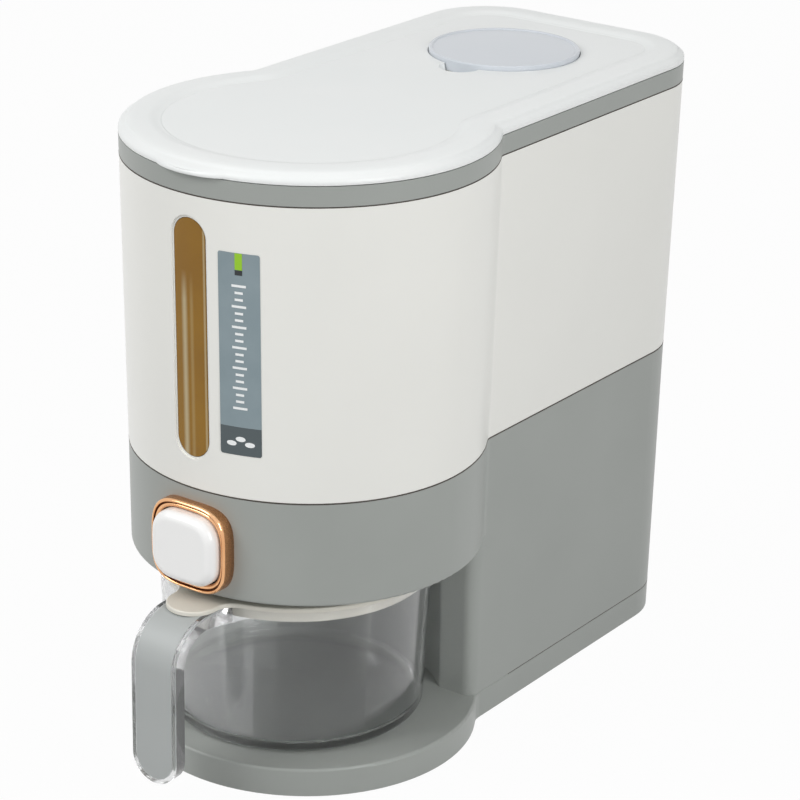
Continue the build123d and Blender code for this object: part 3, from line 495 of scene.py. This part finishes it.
# Section of the rim in mm: inset, height above the lid's underside, share of the tab's reach
rim_section = [(2.5, 0.25, 0.0), (0.4, 0.0, 1.0), (0.05, 0.2, 1.0), (-0.03, 0.6, 1.0), (0.0, 1.3, 1.0),
               (0.3, 2.15, 0.92), (0.95, 2.75, 0.6), (1.9, 3.45, 0.22), (3.0, 4.05, 0.05)]
crest_inset = 9.0
crest_rise = 5.33
shoulder_inset, shoulder_rise = rim_section[-1][:2]
for angle in (15, 30, 45, 60, 75, 90):
    rim_section.append((crest_inset - (crest_inset - shoulder_inset) * math.cos(math.radians(angle)),
                        shoulder_rise + (crest_rise - shoulder_rise) * math.sin(math.radians(angle)), 0.0))
fall_inset = 13.0
fall_width = 6.2
fall_depth = 1.3
fall_steps = 8
rim_section += [(11.0, crest_rise + 0.02, 0.0), (fall_inset, crest_rise, 0.0)]
for step in range(1, fall_steps + 1):
    share = step / fall_steps
    rim_section.append((fall_inset + fall_width * share,
                        crest_rise - fall_depth * (3 * share ** 2 - 2 * share ** 3), 0.0))
rim_section.append((19.6, 3.4, 0.0))
rim_form = bmesh.new()
rim_rings = []
for inset, rise_by, share in rim_section:
    height = lid_under + rise_by * mm
    ring = []
    for x, y in casing_outline(height, inset * mm):
        x, y = tab_bulge(x, y, share)
        ring.append(rim_form.verts.new((x, drum_middle + y, height)))
    rim_rings.append(ring)
for first, second in zip(rim_rings, rim_rings[1:]):
    skin_between(rim_form, first, second)
skin_between(rim_form, rim_rings[-1], rim_rings[0])
lid_rim = finished_mesh("lid_rim_skin", rim_form, (lid_white,), "lid")

# ================================================================ joint lines of the casing
# Hairline joints run round the casing where its mouldings meet: at the seam, under the grey band
# and over the plinth. Each is a thin dark bead laid in the joint, painted shade of the hairline gap.
# The beads' dark brown is painted shade: the real joints are hairline gaps that read dark only in shade.
joint_shade_paint = moulding("joint_painted_shade", tint(74, 66, 58), tint(58, 52, 46), 0.6, grain=900.0)
joint_proud = 0.05 * mm
bead_root = 0.35 * mm
band_low = 280.5 * mm
plinth_high = 14.2 * mm
bay_back = 64.0 * mm


def painted_shade_bead(name, height, thick, front=None):
    """A bead round the casing at a height: closed, or only behind a place along the casing."""
    form = bmesh.new()
    layers = []
    steps = 6
    for step in range(steps + 1):
        angle = math.pi * step / steps
        level = height - thick / 2 * math.cos(angle)
        inset = bead_root if step in (0, steps) else -joint_proud * math.sin(angle)
        outline = casing_outline(level, inset)
        if front is not None:
            outline = [point for point in outline if point[1] > front]
        layers.append([form.verts.new((x, drum_middle + y, level)) for x, y in outline])
    count = len(layers[0])
    for low, high in zip(layers, layers[1:]):
        for step in range(count if front is None else count - 1):
            face = form.faces.new((low[step], low[(step + 1) % count],
                                   high[(step + 1) % count], high[step]))
            face.smooth = True
    finished_mesh(name, form, (joint_shade_paint,), "housing")


painted_shade_bead("seam_painted_shade", seam_height, 0.5 * mm)
painted_shade_bead("band_painted_shade", band_low, 0.4 * mm)
painted_shade_bead("plinth_painted_shade", plinth_high, 0.4 * mm, bay_back)

# ================================================================ desiccant cap and its box
# Pale blue-grey milky disc with a raised ring, over a small slotted box for the drying agent.
cap_milky = moulding("cap_milky", tint(206, 211, 217), tint(200, 206, 213), 0.3, coat=0.3)
finish_node("desiccant_cap", cap_milky)
finish_node("desiccant_box", inner_white)

# ================================================================ measuring cup
# Clear injection-moulded cup with a hooked handle frame; a grey strip is glued into the handle.


def clear_plastic(name, body, roughness):
    """Clear plastic with the faint waves that moulding leaves on it."""
    material = bpy.data.materials.new(name)
    material.use_nodes = True
    tree = material.node_tree
    shader = tree.nodes["Principled BSDF"]
    shader.inputs["Transmission Weight"].default_value = 1.0
    shader.inputs["IOR"].default_value = 1.42
    shader.inputs["Coat Weight"].default_value = 0.2
    shader.inputs["Coat IOR"].default_value = 1.55
    shader.inputs["Coat Roughness"].default_value = 0.02
    place = tree.nodes.new("ShaderNodeTexCoord")
    waves = tree.nodes.new("ShaderNodeTexNoise")
    waves.inputs["Scale"].default_value = 35.0
    waves.inputs["Detail"].default_value = 1.0
    tree.links.new(place.outputs["Object"], waves.inputs["Vector"])
    tones = tree.nodes.new("ShaderNodeValToRGB")
    tones.color_ramp.elements[0].color = body
    tones.color_ramp.elements[1].color = (1.0, 1.0, 1.0, 1.0)
    tree.links.new(waves.outputs["Fac"], tones.inputs["Fac"])
    tree.links.new(tones.outputs["Color"], shader.inputs["Base Color"])
    haze = tree.nodes.new("ShaderNodeMapRange")
    haze.inputs["To Min"].default_value = roughness
    haze.inputs["To Max"].default_value = roughness + 0.03
    tree.links.new(waves.outputs["Fac"], haze.inputs["Value"])
    tree.links.new(haze.outputs["Result"], shader.inputs["Roughness"])
    bump = tree.nodes.new("ShaderNodeBump")
    bump.inputs["Strength"].default_value = 0.15
    bump.inputs["Distance"].default_value = 0.0003
    tree.links.new(waves.outputs["Fac"], bump.inputs["Height"])
    tree.links.new(bump.outputs["Normal"], shader.inputs["Normal"])
    clear = tree.nodes.new("ShaderNodeBsdfTransparent")
    share = tree.nodes.new("ShaderNodeMixShader")
    share.inputs["Fac"].default_value = 0.14
    tree.links.new(shader.outputs["BSDF"], share.inputs[1])
    tree.links.new(clear.outputs["BSDF"], share.inputs[2])
    tree.links.new(share.outputs["Shader"], tree.nodes["Material Output"].inputs["Surface"])
    return material


cup_clear = clear_plastic("cup_clear", (0.86, 0.87, 0.88, 1.0), 0.01)
finish_node("cup_bowl", cup_clear)
inlay_grey = moulding("inlay_grey", tint(176, 180, 179), tint(170, 174, 173), 0.45)
finish_node("handle_inlay", inlay_grey)

# ================================================================ cup lid
# Cream moulded lid with a thumb tab; its plug sits inside the cup's rim.
lid_cream = moulding("lid_cream", tint(226, 223, 212), tint(221, 218, 207), 0.35, coat=0.15)
finish_node("cup_lid", lid_cream)

# ================================================================ floor, light and camera
# A plain pale floor and soft studio lamps, with the camera where the photographer stood.
room_size = 6.0
floor_mesh = bpy.data.meshes.new("floor")
floor_form = bmesh.new()
bmesh.ops.create_grid(floor_form, x_segments=2, y_segments=2, size=room_size)
floor_form.to_mesh(floor_mesh)
floor_form.free()
floor = bpy.data.objects.new("floor", floor_mesh)
bpy.context.scene.collection.objects.link(floor)


def backdrop_rays(tree):
    """One for rays from the camera, mirrors and clear plastic, and nought for all others."""
    rays = tree.nodes.new("ShaderNodeLightPath")
    seen = tree.nodes.new("ShaderNodeMath")
    seen.operation = "MAXIMUM"
    tree.links.new(rays.outputs["Is Camera Ray"], seen.inputs[0])
    tree.links.new(rays.outputs["Is Glossy Ray"], seen.inputs[1])
    through = tree.nodes.new("ShaderNodeMath")
    through.operation = "MAXIMUM"
    tree.links.new(seen.outputs["Value"], through.inputs[0])
    tree.links.new(rays.outputs["Is Transmission Ray"], through.inputs[1])
    return through.outputs["Value"]


floor_paint = bpy.data.materials.new("floor_paint")
floor_paint.use_nodes = True
floor_tree = floor_paint.node_tree
floor_shader = floor_tree.nodes["Principled BSDF"]
floor_shader.inputs["Base Color"].default_value = (0.5, 0.5, 0.5, 1.0)
floor_shader.inputs["Roughness"].default_value = 0.8
floor_light = floor_tree.nodes.new("ShaderNodeEmission")
floor_light.inputs["Strength"].default_value = 1.0
floor_mix = floor_tree.nodes.new("ShaderNodeMixShader")
floor_part = floor_tree.nodes.new("ShaderNodeMath")
floor_part.operation = "MULTIPLY"
floor_part.inputs[1].default_value = 0.97
floor_tree.links.new(backdrop_rays(floor_tree), floor_part.inputs[0])
floor_tree.links.new(floor_part.outputs["Value"], floor_mix.inputs["Fac"])
floor_tree.links.new(floor_shader.outputs["BSDF"], floor_mix.inputs[1])
floor_tree.links.new(floor_light.outputs["Emission"], floor_mix.inputs[2])
floor_tree.links.new(floor_mix.outputs["Shader"], floor_tree.nodes["Material Output"].inputs["Surface"])
floor_mesh.materials.append(floor_paint)

world = bpy.data.worlds.new("studio")
bpy.context.scene.world = world
world.use_nodes = True
world_tree = world.node_tree
sky = world_tree.nodes["Background"]
sky.inputs["Color"].default_value = (1.0, 1.0, 1.0, 1.0)
sky_level = world_tree.nodes.new("ShaderNodeMapRange")
sky_level.inputs["To Min"].default_value = 0.35
sky_level.inputs["To Max"].default_value = 1.0
world_tree.links.new(backdrop_rays(world_tree), sky_level.inputs["Value"])
world_tree.links.new(sky_level.outputs["Result"], sky.inputs["Strength"])


def softbox(name, place, target, width, height, power):
    """A rectangular studio lamp that faces a point."""
    lamp = bpy.data.lights.new(name, "AREA")
    lamp.shape = "RECTANGLE"
    lamp.size = width
    lamp.size_y = height
    lamp.energy = power
    holder = bpy.data.objects.new(name, lamp)
    bpy.context.scene.collection.objects.link(holder)
    holder.location = place
    holder.rotation_mode = "QUATERNION"
    holder.rotation_quaternion = (Vector(target) - Vector(place)).to_track_quat("-Z", "Y")


middle = (0.0, 0.0, 0.15)
softbox("key_softbox", (-0.8, -1.3, 1.35), middle, 1.0, 1.0, 18.5)
softbox("side_softbox", (1.05, -0.35, 0.65), middle, 0.4, 0.6, 6.2)
softbox("top_softbox", (0.0, 0.3, 1.8), middle, 1.2, 1.2, 2.0)

eye = Vector((0.7545, -1.0285, 0.6541))
heading = math.radians(35.916)
rise = math.radians(21.827)
roll = math.radians(1.153)
forward = Vector((-math.sin(heading) * math.cos(rise), math.cos(heading) * math.cos(rise), -math.sin(rise)))
level_right = Vector((math.cos(heading), math.sin(heading), 0.0))
level_up = level_right.cross(forward)
camera_right = math.cos(roll) * level_right + math.sin(roll) * level_up
camera_up = math.cos(roll) * level_up - math.sin(roll) * level_right
camera = bpy.data.cameras.new("camera")
camera.sensor_width = 36.0
camera.lens = 130.45
camera.clip_start = 0.05
camera.clip_end = 30.0
stand = bpy.data.objects.new("camera", camera)
bpy.context.scene.collection.objects.link(stand)
stand.matrix_world = Matrix((
    (camera_right.x, camera_up.x, -forward.x, eye.x),
    (camera_right.y, camera_up.y, -forward.y, eye.y),
    (camera_right.z, camera_up.z, -forward.z, eye.z),
    (0.0, 0.0, 0.0, 1.0),
))
bpy.context.scene.camera = stand
bpy.context.scene.view_settings.view_transform = "Standard"
